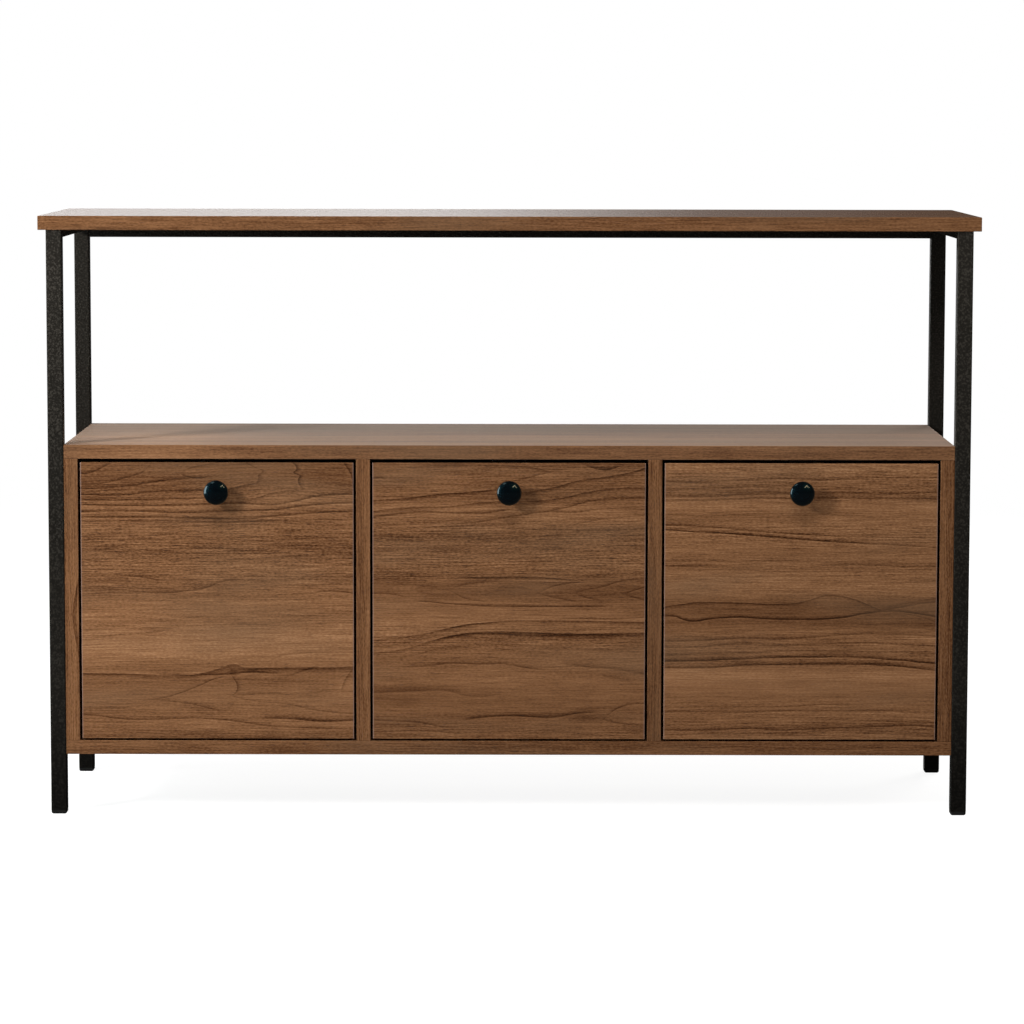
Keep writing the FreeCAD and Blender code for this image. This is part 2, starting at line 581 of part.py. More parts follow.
def wall_bracket(wall_x, wall):
    """The plate and stub pivot on a compartment's wall."""
    y, z = WALL_PIVOT
    face_x = wall_x + WALL_BRACKET_THICKNESS
    solid = block((wall_x, face_x), about(y, WALL_BRACKET_SIZE[0]), about(z, WALL_BRACKET_SIZE[1]))
    solid = solid.makeFillet(5.0, edges_along(solid, RIGHT))
    solid = solid.fuse(rod((face_x, y, z), RIGHT, STUB_LENGTH, STAY_PIVOT_DIAMETER))
    for screw_y in about(y, WALL_BRACKET_SCREWS):
        hole_start = (wall_x, screw_y, z)
        solid = solid.cut(rod(hole_start, RIGHT, WALL_BRACKET_THICKNESS, WOOD_SCREW_HOLE))
        fitting_screws.append(wood_screw((face_x, screw_y, z), -RIGHT))
        depth = WOOD_SCREW_LENGTH - WALL_BRACKET_THICKNESS
        drill(wall, hole_start, -RIGHT, depth, WOOD_SCREW_DIAMETER)
    return solid.Solids[0]


def swivel_eye(wall_x, bar_x):
    """The turned block that the bar slides through."""
    y, z = WALL_PIVOT
    start_x = wall_x + WALL_BRACKET_THICKNESS + PIVOT_SIDE_PLAY
    eye = rod((start_x, y, z), RIGHT, EYE_LENGTH, EYE_DIAMETER)
    eye = eye.makeFillet(1.0, [edge for edge in eye.Edges if edge.Closed])
    stub_bore = rod((start_x, y, z), RIGHT, EYE_BORE_DEPTH, STAY_PIVOT_DIAMETER + 2 * RUNNING_CLEARANCE)
    half_way = BAR_DIRECTION * EYE_DIAMETER
    bar_start = FreeCAD.Vector(bar_x, y, z) - half_way
    bar_bore = rod(bar_start, BAR_DIRECTION, 2 * EYE_DIAMETER, STAY_BAR_DIAMETER + 2 * STAY_BAR_PLAY)
    return eye.cut([stub_bore, bar_bore]).Solids[0]


def stay_bar(bar_x):
    """The bar, with a pivot ring at the door and a collar at its free end."""
    pivot = FreeCAD.Vector(bar_x, *DOOR_PIVOT)
    ring_start = pivot - RIGHT * (STAY_BAR_DIAMETER / 2)
    ring = rod(ring_start, RIGHT, STAY_BAR_DIAMETER, RING_DIAMETER)
    shaft_start = RING_DIAMETER / 2 - 1.5
    shaft = rod(pivot + BAR_DIRECTION * shaft_start, BAR_DIRECTION, COLLAR_START - shaft_start + 1.0,
                STAY_BAR_DIAMETER)
    collar = rod(pivot + BAR_DIRECTION * COLLAR_START, BAR_DIRECTION, COLLAR_LENGTH, COLLAR_DIAMETER)
    collar = collar.makeFillet(0.8, [edge for edge in collar.Edges if edge.Closed])
    bore = rod(ring_start, RIGHT, STAY_BAR_DIAMETER, STAY_PIVOT_DIAMETER + 2 * RUNNING_CLEARANCE)
    return ring.fuse([shaft, collar]).cut(bore).Solids[0]


def door_bracket(bar_x, door, screws):
    """The bracket on the door's back, with its lug and the pivot that the bar's ring turns on."""
    y, z = DOOR_PIVOT
    lug_x = bar_x + STAY_BAR_DIAMETER / 2 + PIVOT_SIDE_PLAY
    lug = block((lug_x, lug_x + LUG_THICKNESS), (DOOR_BACK, y), about(z, 2 * LUG_RADIUS))
    lug_end = rod((lug_x, y, z), RIGHT, LUG_THICKNESS, 2 * LUG_RADIUS)
    base_x = (lug_x, lug_x + DOOR_BRACKET_LENGTH)
    base = block(base_x, (DOOR_BACK, DOOR_BACK + LUG_THICKNESS), about(z, DOOR_BRACKET_HEIGHT))
    pivot_end = bar_x - STAY_BAR_DIAMETER / 2 - PIVOT_SIDE_PLAY
    pivot = rod((pivot_end, y, z), RIGHT, lug_x - pivot_end, STAY_PIVOT_DIAMETER)
    head_start = (pivot_end - PIVOT_HEAD_THICKNESS, y, z)
    head = rod(head_start, RIGHT, PIVOT_HEAD_THICKNESS, PIVOT_HEAD_DIAMETER)
    solid = base.fuse([lug, lug_end, pivot, head]).removeSplitter()
    for screw_x in (base_x[1] - 22.0, base_x[1] - 7.0):
        hole_start = (screw_x, DOOR_BACK, z)
        solid = solid.cut(rod(hole_start, BACKWARD, LUG_THICKNESS, WOOD_SCREW_HOLE))
        screws.append(wood_screw((screw_x, DOOR_BACK + LUG_THICKNESS, z), -BACKWARD))
        drill(door, hole_start, -BACKWARD, WOOD_SCREW_LENGTH - LUG_THICKNESS, WOOD_SCREW_DIAMETER)
    return solid.Solids[0]


left_walls = ("cabinet_side_left", "divider_left", "divider_right")
wall_brackets = []
for number, middle in each_compartment():
    wall_x = middle - OPENING_WIDTH / 2
    bar_x = wall_x + STAY_FROM_WALL
    wall_brackets.append(wall_bracket(wall_x, left_walls[number - 1]))
    save("stay_eye_" + str(number), swivel_eye(wall_x, bar_x))
    save("stay_bar_" + str(number), stay_bar(bar_x))
    save("stay_bracket_" + str(number), door_bracket(bar_x, "door_" + str(number), door_screws[number]))

save("stay_wall_brackets", *wall_brackets)

# ---------------------------------------------------------------- magnetic catches
# A magnet case under the compartment's ceiling pulls on a steel plate pressed into the door's back.
CATCH_BODY = (28.0, 14.0, 13.0)
CATCH_EAR_LENGTH = 48.0
CATCH_EAR_THICKNESS = 3.0
CATCH_SCREW_SPACING = 38.0
STRIKE_SIZE = (30.0, 1.2, 12.0)
STRIKE_BELOW_DOOR_TOP = 2.0
STRIKE_PRONG_DIAMETER = 2.0
STRIKE_PRONG_LENGTH = 8.0
CATCH_GAP = 0.3

catches = []
for number, middle in each_compartment():
    catch_front = DOOR_BACK + STRIKE_SIZE[1] + CATCH_GAP
    catch_y = (catch_front, catch_front + CATCH_BODY[1])
    catch_z = (CABINET_CEILING - CATCH_BODY[2], CABINET_CEILING)
    catch = block(about(middle, CATCH_BODY[0]), catch_y, catch_z)
    catch = catch.makeFillet(1.5, edges_along(catch, UP))
    ears_z = (CABINET_CEILING - CATCH_EAR_THICKNESS, CABINET_CEILING)
    ears = block(about(middle, CATCH_EAR_LENGTH), catch_y, ears_z)
    ears = ears.makeFillet(4.0, edges_along(ears, UP))
    catch = catch.fuse(ears)
    screw_y = sum(catch_y) / 2
    for screw_x in about(middle, CATCH_SCREW_SPACING):
        seat = (screw_x, screw_y, ears_z[0])
        catch = catch.cut(rod(seat, UP, CATCH_EAR_THICKNESS, WOOD_SCREW_HOLE))
        fitting_screws.append(wood_screw(seat, UP))
        depth = WOOD_SCREW_LENGTH - CATCH_EAR_THICKNESS
        drill("cabinet_top", (screw_x, screw_y, CABINET_CEILING), UP, depth, WOOD_SCREW_DIAMETER)
    catches.append(catch.Solids[0])

    strike_top = DOOR_TOP - STRIKE_BELOW_DOOR_TOP
    strike_y = (DOOR_BACK, DOOR_BACK + STRIKE_SIZE[1])
    strike = block(about(middle, STRIKE_SIZE[0]), strike_y, (strike_top - STRIKE_SIZE[2], strike_top))
    strike = strike.makeFillet(2.0, edges_along(strike, BACKWARD))
    for prong_x in about(middle, STRIKE_SIZE[0] / 2):
        prong = ((prong_x, DOOR_BACK, strike_top - STRIKE_SIZE[2] / 2), -BACKWARD, STRIKE_PRONG_LENGTH)
        strike = strike.fuse(rod(*prong, STRIKE_PRONG_DIAMETER))
        drill("door_" + str(number), *prong, STRIKE_PRONG_DIAMETER)
    save("strike_plate_" + str(number), strike.Solids[0])

save("magnetic_catches", *catches)
save("cabinet_fitting_screws", *fitting_screws)

# ---------------------------------------------------------------- doors and cabinet panels
for number, middle in each_compartment():
    door = block(about(middle, DOOR_WIDTH), (DOOR_FACE, DOOR_BACK), (DOOR_BOTTOM, DOOR_TOP))
    finish("door_" + str(number), eased(door))
    save("door_fitting_screws_" + str(number), *door_screws[number])

groove_y = (BACK_FRONT - GROOVE_PLAY, BACK_REAR + GROOVE_PLAY)
groove_reach = LEG_INNER - BOARD + GROOVE_DEPTH
groove_z = (CABINET_FLOOR - GROOVE_DEPTH, CABINET_CEILING + GROOVE_DEPTH)
groove = block((-groove_reach, groove_reach), groove_y, groove_z)

full_width = (-LEG_INNER, LEG_INNER)
full_depth = (CABINET_FRONT, CABINET_REAR)
cabinet_top = eased(block(full_width, full_depth, (CABINET_CEILING, CABINET_TOP)))
finish("cabinet_top", cabinet_top.cut(groove))
cabinet_bottom = eased(block(full_width, full_depth, (CABINET_BOTTOM, CABINET_FLOOR)))
finish("cabinet_bottom", cabinet_bottom.cut(groove))

for upright, (middle, _) in uprights.items():
    is_side = upright.startswith("cabinet_side")
    depth = full_depth if is_side else (CABINET_FRONT, BACK_FRONT)
    panel = eased(block(about(middle, BOARD), depth, (CABINET_FLOOR, CABINET_CEILING)))
    finish(upright, panel.cut(groove) if is_side else panel)

back_reach = LEG_INNER - BOARD + BACK_IN_GROOVE
back_z = (CABINET_FLOOR - BACK_IN_GROOVE, CABINET_CEILING + BACK_IN_GROOVE)
save("back_panel", block((-back_reach, back_reach), (BACK_FRONT, BACK_REAR), back_z))
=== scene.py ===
import math
import random

import bmesh
import bpy
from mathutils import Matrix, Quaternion, Vector


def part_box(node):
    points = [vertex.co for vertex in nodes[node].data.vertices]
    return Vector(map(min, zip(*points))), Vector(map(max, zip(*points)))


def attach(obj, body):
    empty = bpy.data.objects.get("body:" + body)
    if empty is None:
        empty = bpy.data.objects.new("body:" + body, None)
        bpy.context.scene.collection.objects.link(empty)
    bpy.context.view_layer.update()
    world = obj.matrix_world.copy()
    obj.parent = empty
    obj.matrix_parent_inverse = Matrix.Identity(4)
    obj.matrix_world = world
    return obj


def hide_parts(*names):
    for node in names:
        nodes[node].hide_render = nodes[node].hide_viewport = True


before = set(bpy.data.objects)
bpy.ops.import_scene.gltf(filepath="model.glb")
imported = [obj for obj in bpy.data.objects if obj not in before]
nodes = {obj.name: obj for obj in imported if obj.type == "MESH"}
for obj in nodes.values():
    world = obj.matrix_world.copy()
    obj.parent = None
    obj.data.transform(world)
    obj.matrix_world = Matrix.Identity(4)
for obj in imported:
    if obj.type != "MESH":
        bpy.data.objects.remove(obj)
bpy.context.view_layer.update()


# ---------------------------------------------------------------- steel frame
# Four legs and three rails of thin-walled steel tube, welded together and ground flush.
# The whole frame is sprayed with black powder and baked, which leaves a fine dull grain.
class Wire:
    """An output of a shader node. Arithmetic on it adds Math nodes to the same material."""

    def __init__(self, tree, socket=None):
        self.tree = tree
        self.socket = socket

    def node(self, kind, settings, inputs, output=None):
        """Adds a node: first its settings, then the value or wire of each input. The new wire
        leaves the named output, or else the first one."""
        made = self.tree.nodes.new("ShaderNode" + kind)
        for name, setting in settings.items():
            if name == "stops":
                self.fill_ramp(made.color_ramp, setting)
            elif name == "path":
                self.lead_curve(made.mapping, setting)
            else:
                setattr(made, name, setting)
        sockets = [socket for socket in made.inputs if socket.enabled]
        for name, value in inputs.items():
            if isinstance(name, str):
                socket = next(socket for socket in sockets if socket.name == name)
            else:
                socket = sockets[name]
            if isinstance(value, Wire):
                self.tree.links.new(value.socket, socket)
            else:
                socket.default_value = value
        outputs = [socket for socket in made.outputs if socket.enabled]
        named = [socket for socket in outputs if socket.name == output]
        return Wire(self.tree, (named or outputs or [None])[0])

    def fill_ramp(self, ramp, stops):
        """Gives a colour ramp its stops, each a position and a colour."""
        while len(ramp.elements) > len(stops):
            ramp.elements.remove(ramp.elements[-1])
        while len(ramp.elements) < len(stops):
            ramp.elements.new(1.0)
        for element, (position, colour) in zip(ramp.elements, stops):
            element.position = position
            element.color = (*colour, 1.0)

    def lead_curve(self, mapping, places):
        """Leads a curve through two or more places, each of two numbers from 0 to 1."""
        points = mapping.curves[0].points
        for _ in places[2:]:
            points.new(0.5, 0.5)
        for point, place in zip(points, places):
            point.location = place
        mapping.update()

    def maths(self, operation, *others):
        """A Math node on this wire and the others."""
        return self.node("Math", {"operation": operation}, dict(enumerate((self, *others))))

    def __add__(self, other):
        return self.maths("ADD", other)

    def __sub__(self, other):
        return self.maths("SUBTRACT", other)

    def __rsub__(self, other):
        return self.maths("MULTIPLY_ADD", -1.0, other)

    def __mul__(self, other):
        return self.maths("MULTIPLY", other)

    def __truediv__(self, other):
        return self.maths("DIVIDE", other)

    def __neg__(self):
        return self.maths("MULTIPLY", -1.0)

    def __abs__(self):
        return self.maths("ABSOLUTE")

    def __gt__(self, other):
        return self.maths("GREATER_THAN", other)

    __radd__ = __add__
    __rmul__ = __mul__

    def between(self, low, high):
        """0 below low, 1 above high, and a smooth rise from one to the other."""
        ramp = {"interpolation_type": "SMOOTHSTEP"}
        return self.node("MapRange", ramp, {"Value": self, "From Min": low, "From Max": high})

    def tint(self, low, high):
        """The colour low where the wire is 0 and high where it is 1."""
        return self.node("Mix", {"data_type": "RGBA"}, {"Factor": self, "A": low, "B": high})

    def spot(self, x, y, z):
        """A point of the texture space, of three numbers or wires."""
        return self.node("CombineXYZ", {}, {"X": x, "Y": y, "Z": z})

    def scaled(self, x, y, z):
        """The point with each of its coordinates multiplied."""
        return self.node("VectorMath", {"operation": "MULTIPLY"}, {0: self, 1: (x, y, z)})

    def noise(self, scale=1.0, detail=2.0, roughness=0.5):
        """Soft noise at the point, from 0 to 1 and mostly near a half."""
        amounts = {"Vector": self, "Scale": scale, "Detail": detail, "Roughness": roughness}
        return self.node("TexNoise", {"noise_dimensions": "3D"}, amounts)

    def beside(self, name):
        """Another output of the node that this wire leaves."""
        return Wire(self.tree, self.socket.node.outputs[name])

    def axes(self):
        """The point's three coordinates."""
        split = self.node("SeparateXYZ", {}, {"Vector": self})
        return [split, split.beside("Y"), split.beside("Z")]


def rgb(red, green, blue):
    """A colour socket's value."""
    return (red, green, blue, 1.0)


def new_finish(name):
    """A material with nothing in it yet, and a wire to build its shader on."""
    material = bpy.data.materials.new(name)
    material.use_nodes = True
    material.node_tree.nodes.clear()
    return material, Wire(material.node_tree)


def close_finish(start, colour, roughness, relief, depth, **constants):
    """Joins colour, roughness and relief to the surface shader, with what is the same all over,
    and the shader to the material's output."""
    bump = start.node("Bump", {}, {"Height": relief, "Distance": depth, "Strength": 1.0})
    inputs = {"Base Color": colour, "Roughness": roughness, "Normal": bump}
    inputs.update({name.replace("_", " "): value for name, value in constants.items()})
    shader = start.node("BsdfPrincipled", {}, inputs)
    start.node("OutputMaterial", {}, {"Surface": shader})


def dress(material, *names):
    """Gives the material to CAD nodes."""
    for name in names:
        nodes[name].material_slots[0].material = material


MM = 0.001
POWDER_GRAIN = 480.0     # grains per metre
POWDER_DEPTH = 0.05 * MM

powder_coat, start = new_finish("powder_coat_black")
place = start.node("TexCoord", {}, {}, "Object")
grain = place.noise(POWDER_GRAIN, 2.0)
cloud = place.noise(60.0, 3.0)
speck = grain.between(0.46, 0.66)
colour = speck.tint(rgb(0.0102, 0.0091, 0.0076), rgb(0.0275, 0.0247, 0.0209))
# Painted shade: the coat's colour is multiplied down towards the floor, darkest at the feet, for
# the shade that falls low on the legs.
height = place.axes()[2]
painted_shade_to_feet = 0.35 + 0.45 * height.between(0.0, 0.20) + 0.60 * height.between(0.25, 0.75)
colour = colour.node("Mix", {"data_type": "RGBA", "blend_type": "MULTIPLY"},
                     {"Factor": 1.0, "A": colour, "B": painted_shade_to_feet})
close_finish(start, colour, 0.40 + 0.12 * cloud + 0.05 * speck, grain, POWDER_DEPTH,
             Specular_IOR_Level=0.18)
LEGS = ["leg_" + end + "_" + side for end in ("front", "rear") for side in ("left", "right")]
dress(powder_coat, "rear_rail", "side_rail_left", "side_rail_right", *LEGS)


# ---------------------------------------------------------------- foot caps
# Pushed into the lower end of each leg: a black polyethylene cap with a ribbed stem
# and a rounded head that keeps the steel off the floor.
PLASTIC_DEPTH = 0.03 * MM

foot_plastic, start = new_finish("foot_plastic_black")
place = start.node("TexCoord", {}, {}, "Object")
grain = place.noise(1500.0, 1.0)
colour = place.noise(40.0).tint(rgb(0.008, 0.008, 0.008), rgb(0.016, 0.016, 0.0155))
close_finish(start, colour, 0.42 + 0.1 * grain, grain, PLASTIC_DEPTH, Specular_IOR_Level=0.15)
dress(foot_plastic, *[leg.replace("leg", "foot_cap") for leg in LEGS])


# ---------------------------------------------------------------- top board
# Particle board faced with satin walnut foil, 18 mm thick, its edges banded to match.
# It lies on the rails and is screwed to them from below.
WALNUT = [
    (0.00, (0.026, 0.0095, 0.0035)),
    (0.22, (0.078, 0.0320, 0.0130)),
    (0.45, (0.148, 0.0680, 0.0300)),
    (0.65, (0.212, 0.1020, 0.0470)),
    (1.00, (0.350, 0.1850, 0.0930)),
]
GREY_WALNUT = rgb(0.132, 0.078, 0.044)
BAND_EDGE_AND_HIGHLIGHT = rgb(0.230, 0.165, 0.150)    # a thin pale line at the edge band: partly its own edge, partly a painted highlight on the arris
BOARD_TONE = 0.015       # added to each board's own tone
END_FACING = 0.7         # a normal that lies this far along the grain is on an end of the board
STROKE_FADE = 0.45       # how far a dark line reaches before it fades, for a softness of 1
STROKE_SHARP = 1.8       # how much sooner it fades on its sharp side
STROKE_MIDDLE = 0.72     # its darkness on its middle
STROKE_TILT = 1.8        # how fast it darkens to one side, and turns pale to the other
STROKE_TAPER = 20 * MM   # over which its ends fade out, at most
STROKE_POINTS = 8        # points on a line of the boards whose figure is free


def mound(point, x, y, reach, height):
    """A soft round rise, 1 at its middle, its place and size in millimetres."""
    far = point.node("VectorMath", {"operation": "MULTIPLY_ADD"}, {
        0: point,
        1: (1 / (reach * MM), 1 / (height * MM), 0.0),
        2: (-x / reach, -y / height, 0.0)})
    square = far.node("VectorMath", {"operation": "DOT_PRODUCT"}, {0: far, 1: far})
    return (-square).maths("EXPONENT")


def line_through(along, level, length, width, points, softness):
    """1 on a line through points in millimetres, 0 beside it and less along its pale edge. It
    fades out above and has its sharp pale edge below, or the reverse for a negative softness."""
    path = [(x * MM / length, y * MM / width) for x, y in points]
    height = along.node("FloatCurve", {"path": path}, {"Value": along / length}) * width
    off = (level - height) / (STROKE_FADE * softness * MM)
    fade = (-off.maths("MAXIMUM", off * -STROKE_SHARP)).maths("EXPONENT")
    line = fade * off.maths("MULTIPLY_ADD", STROKE_TILT, STROKE_MIDDLE)
    first = points[0][0] * MM
    last = points[-1][0] * MM
    taper = min(STROKE_TAPER, (last - first) / 3)
    if first > 0:
        line = line * along.between(first - taper / 2, first + taper)
    if last < length - MM:
        line = line * (1.0 - along.between(last - taper, last + taper / 2))
    return line


def face_with_walnut(name, node, grain_axis, cross_axis, seed, tone=0.0, satin=0.24, sheen=0.0,
                     relief=0.05, tones=((0, 0, 1),), swells=(), strokes=(), uprights=(),
                     patches=(), band_edge_and_highlight=0.0):
    """Faces one board with walnut foil. Its figure follows a level that runs across the grain.
    Tones are places on the level, each with its lightness and how busy its fibre is. Swells and
    patches are soft mounds, each with its place, its size and how much it lifts the level or the
    lightness. Strokes are dark lines along the grain and uprights across it, each with its
    points, softness and darkness. All are in millimetres from the low corner. Tone is the board's
    own lightness, satin its roughness, sheen its bloom at a flat angle, relief the depth of its
    pores, and the last argument how much the pale line at the arris of its end bands shows,
    partly the band's own edge and partly a painted highlight."""
    low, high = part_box(node)
    size = high - low
    depth_axis = 3 - grain_axis - cross_axis
    material, start = new_finish(name)
    place = start.node("TexCoord", {}, {}, "Object")
    facing = start.node("TexCoord", {}, {}, "Normal").axes()
    local = place.node("VectorMath", {"operation": "SUBTRACT"}, {0: place, 1: low}).axes()
    on_end = abs(facing[grain_axis]) > END_FACING
    long_way = local[grain_axis]
    wide_way = local[cross_axis]
    along = long_way + on_end * (wide_way - long_way)
    over = wide_way + on_end * (long_way - wide_way) + local[depth_axis]
    face = start.spot(along, over, 0.0)

    # slow drift, fine ripple and the swells bend the level
    drift = start.spot(along * 2.2, over * 11.0, seed).noise(1.0, 2.0) - 0.5
    ripple = start.spot(along * 22.0, over * 60.0, seed + 7.0).noise(1.0, 3.0) - 0.5
    level = over + drift * (12 * MM) + ripple * (1.2 * MM)
    for x, y, reach, height, lift in swells:
        level = level + mound(face, x, y, reach, height) * (lift * MM)

    # the tones lie on it, and bands, clouds, fibre, dark pores and grit follow it
    stops = [(y * MM / size[cross_axis], (0.5 + lightness, 0.5 * busy, 0.0))
             for y, lightness, busy in tones]
    plan = level.node("ValToRGB", {"stops": stops}, {"Fac": level / size[cross_axis]}).axes()
    busy = plan[1] * 2.0
    bands = start.spot(along, level * 32.0, seed + 3.0).noise(1.0, 5.0, 0.55) - 0.5
    cloud = start.spot(along * 28.0, level * 60.0, seed + 4.0).noise(1.0, 3.0) - 0.5
    fibre = start.spot(along * 16.0, level * 620.0, seed).noise(1.0, 3.0, 0.6) - 0.5
    pores = start.spot(along * 70.0, level * 900.0, seed + 2.0).noise(1.0, 2.0)
    pores = pores.between(0.52, 0.74)
    grit = start.spot(along * 230.0, level * 680.0, seed).noise(1.0, 2.0) - 0.5
    shade = (plan[0] + (BOARD_TONE + tone) + bands * 0.80 + cloud * 0.15
             + (fibre * 0.85 + grit * 0.62 - pores * 0.20) * busy)

    # the dark lines waver and are broken up by the fibre
    fade = start.spot(along * 14.0, level * 50.0, seed + 5.0).noise(1.0, 3.0).between(0.25, 0.60)
    break_up = (0.6 + 0.4 * fade) * (1.0 + fibre)
    wobble = ripple * (1.6 * MM)
    for points, softness, darkness in strokes:
        line = line_through(along, over + wobble, size[grain_axis], size[cross_axis], points,
                            softness)
        shade = shade - line * break_up * darkness
    for points, softness, darkness in uprights:
        line = line_through(over, along + wobble, size[cross_axis], size[grain_axis], points,
                            softness)
        shade = shade - line * break_up * darkness
    for x, y, reach, height, strength in patches:
        shade = shade + mound(face, x, y, reach, height) * strength

    brown = shade.node("ValToRGB", {"stops": WALNUT}, {"Fac": shade})
    greying = start.spot(along * 3.0, level * 14.0, seed + 11.0).noise(1.0, 2.0)
    colour = (greying.between(0.45, 0.75) * 0.45).tint(brown, GREY_WALNUT)
    # A thin pale line painted just inside each end of the board: partly the edge band's own
    # colour, partly a painted highlight where the arris catches the light.
    if band_edge_and_highlight:
        end = along.maths("MINIMUM", size[grain_axis] - along)
        colour = (band_edge_and_highlight - band_edge_and_highlight * end.between(0.9 * MM, 1.6 * MM)).tint(colour, BAND_EDGE_AND_HIGHLIGHT)
    close_finish(start, colour, satin + fibre * 0.08 + pores * 0.08, fibre - pores * 0.6,
                 relief * MM, Specular_IOR_Level=0.22, Sheen_Weight=sheen, Sheen_Roughness=0.45,
                 Sheen_Tint=rgb(1.0, 0.88, 0.78))
    dress(material, node)


def free_strokes(seed, length, width, bundles):
    """Strokes for a board of that size in millimetres, drawn by chance: bundles of dark lines,
    and those of one bundle run side by side, bow together and stop where they like."""
    chance = random.Random(seed)
    strokes = []
    for bundle in range(bundles):
        middle = (bundle + chance.uniform(0.1, 0.6)) * width / bundles
        bow = chance.uniform(-0.12, 0.12) * width
        bow_place = chance.uniform(0.2, 0.8)
        for _ in range(chance.randint(2, 3)):
            middle = middle + chance.uniform(5, 13)
            bow = bow * chance.uniform(0.6, 1.1)
            first = chance.choice([0.0, chance.uniform(0.04, 0.4)])
            last = chance.choice([1.0, chance.uniform(0.65, 0.96)])
            points = []
            for step in range(STROKE_POINTS):
                place = first + (last - first) * step / (STROKE_POINTS - 1)
                waver = chance.uniform(-1.2, 1.2)
                rise = bow * math.exp(-((place - bow_place) / 0.2) ** 2)
                points.append((place * length, middle + (rise + waver)))
            strokes.append((points, chance.uniform(1.8, 3.6), chance.uniform(0.14, 0.32)))
    return strokes


X, Y, Z = range(3)
face_with_walnut("walnut_top", "top_panel", X, Y, 1.0, tone=-0.06, relief=0.01,
                 strokes=free_strokes(1, 1200, 350, 5))


# ---------------------------------------------------------------- cabinet carcass
# Top, bottom, two sides and two dividers of the same 18 mm board, held by cams and dowels.
# The foil's grain runs along each panel, so it stands upright on the sides and dividers.
# On the cabinet top the first patch is a painted reflection that lightens its left end, and the
# other two are painted shade that darkens the middle and right of its rear, under the top board.
face_with_walnut("walnut_cabinet_top", "cabinet_top", X, Y, 2.0, tone=-0.03, satin=0.60,
                 sheen=0.17, strokes=free_strokes(2, 1140, 342, 4),
                 patches=[(110, 150, 90, 190, 0.28), (340, 260, 60, 110, -0.05),
                          (690, 300, 190, 110, -0.12)])
face_with_walnut("walnut_cabinet_bottom", "cabinet_bottom", X, Y, 3.0, tone=-0.10)
UPRIGHT_TONES = {"cabinet_side_left": -0.07, "divider_left": -0.05,
                 "divider_right": -0.17, "cabinet_side_right": -0.17}
for seed, (upright, tone) in enumerate(UPRIGHT_TONES.items(), 4):
    face_with_walnut("walnut_" + upright, upright, Z, Y, float(seed), tone=tone,
                     strokes=free_strokes(seed, 360, 330, 3))


# ---------------------------------------------------------------- back panel
# Thin hardboard with the same walnut foil on both faces. It is pushed into a groove that
# runs round the cabinet, and so keeps the carcass square.
face_with_walnut("walnut_back", "back_panel", X, Z, 8.0, strokes=free_strokes(8, 1130, 370, 5))


# ---------------------------------------------------------------- cabinet fittings
# Hinges and stays of pressed steel with satin nickel plate, zinc plated screws, cast zinc cam
# locks with beech dowels between them, and magnetic catches in a brown plastic case.
SCRATCH_DEPTH = 0.01 * MM
BEECH_DEPTH = 0.1 * MM


def metal(name, dark, bright, roughness):
    """A metal finish: a soft cloud of two tones of one colour, and fine scratches."""
    material, start = new_finish(name)
    place = start.node("TexCoord", {}, {}, "Object")
    cloud = place.noise(120.0, 3.0)
    lines = place.scaled(60.0, 900.0, 900.0).noise(1.0, 2.0)
    colour = cloud.tint(rgb(*dark), rgb(*bright))
    close_finish(start, colour, roughness + 0.15 * (lines - 0.5), lines, SCRATCH_DEPTH,
                 Metallic=0.72)
    return material


nickel = metal("nickel_steel", (0.50, 0.49, 0.47), (0.66, 0.65, 0.62), 0.36)
zinc = metal("zinc_screws", (0.46, 0.47, 0.48), (0.66, 0.66, 0.64), 0.42)
casting = metal("zinc_casting", (0.36, 0.36, 0.36), (0.50, 0.50, 0.49), 0.55)
dress(nickel, "hinge_arms", "hinge_plates", "stay_wall_brackets")
dress(zinc, "cabinet_fitting_screws", "top_panel_screws", "threaded_inserts")
dress(casting, "cam_discs", "cam_bolts")
dress(powder_coat, "frame_bolts")

beech, start = new_finish("beech_dowels")
place = start.node("TexCoord", {}, {}, "Object")
fibre = place.scaled(40.0, 600.0, 600.0).noise(1.0, 3.0)
colour = fibre.tint(rgb(0.42, 0.26, 0.13), rgb(0.62, 0.42, 0.24))
close_finish(start, colour, 0.6 + 0.1 * fibre, fibre, BEECH_DEPTH)
dress(beech, "dowels")

catch_plastic, start = new_finish("catch_plastic_brown")
place = start.node("TexCoord", {}, {}, "Object")
grain = place.noise(1200.0, 1.0)
colour = place.noise(50.0).tint(rgb(0.045, 0.024, 0.013), rgb(0.060, 0.032, 0.018))
close_finish(start, colour, 0.45 + 0.1 * grain, grain, PLASTIC_DEPTH)
dress(catch_plastic, "magnetic_catches")


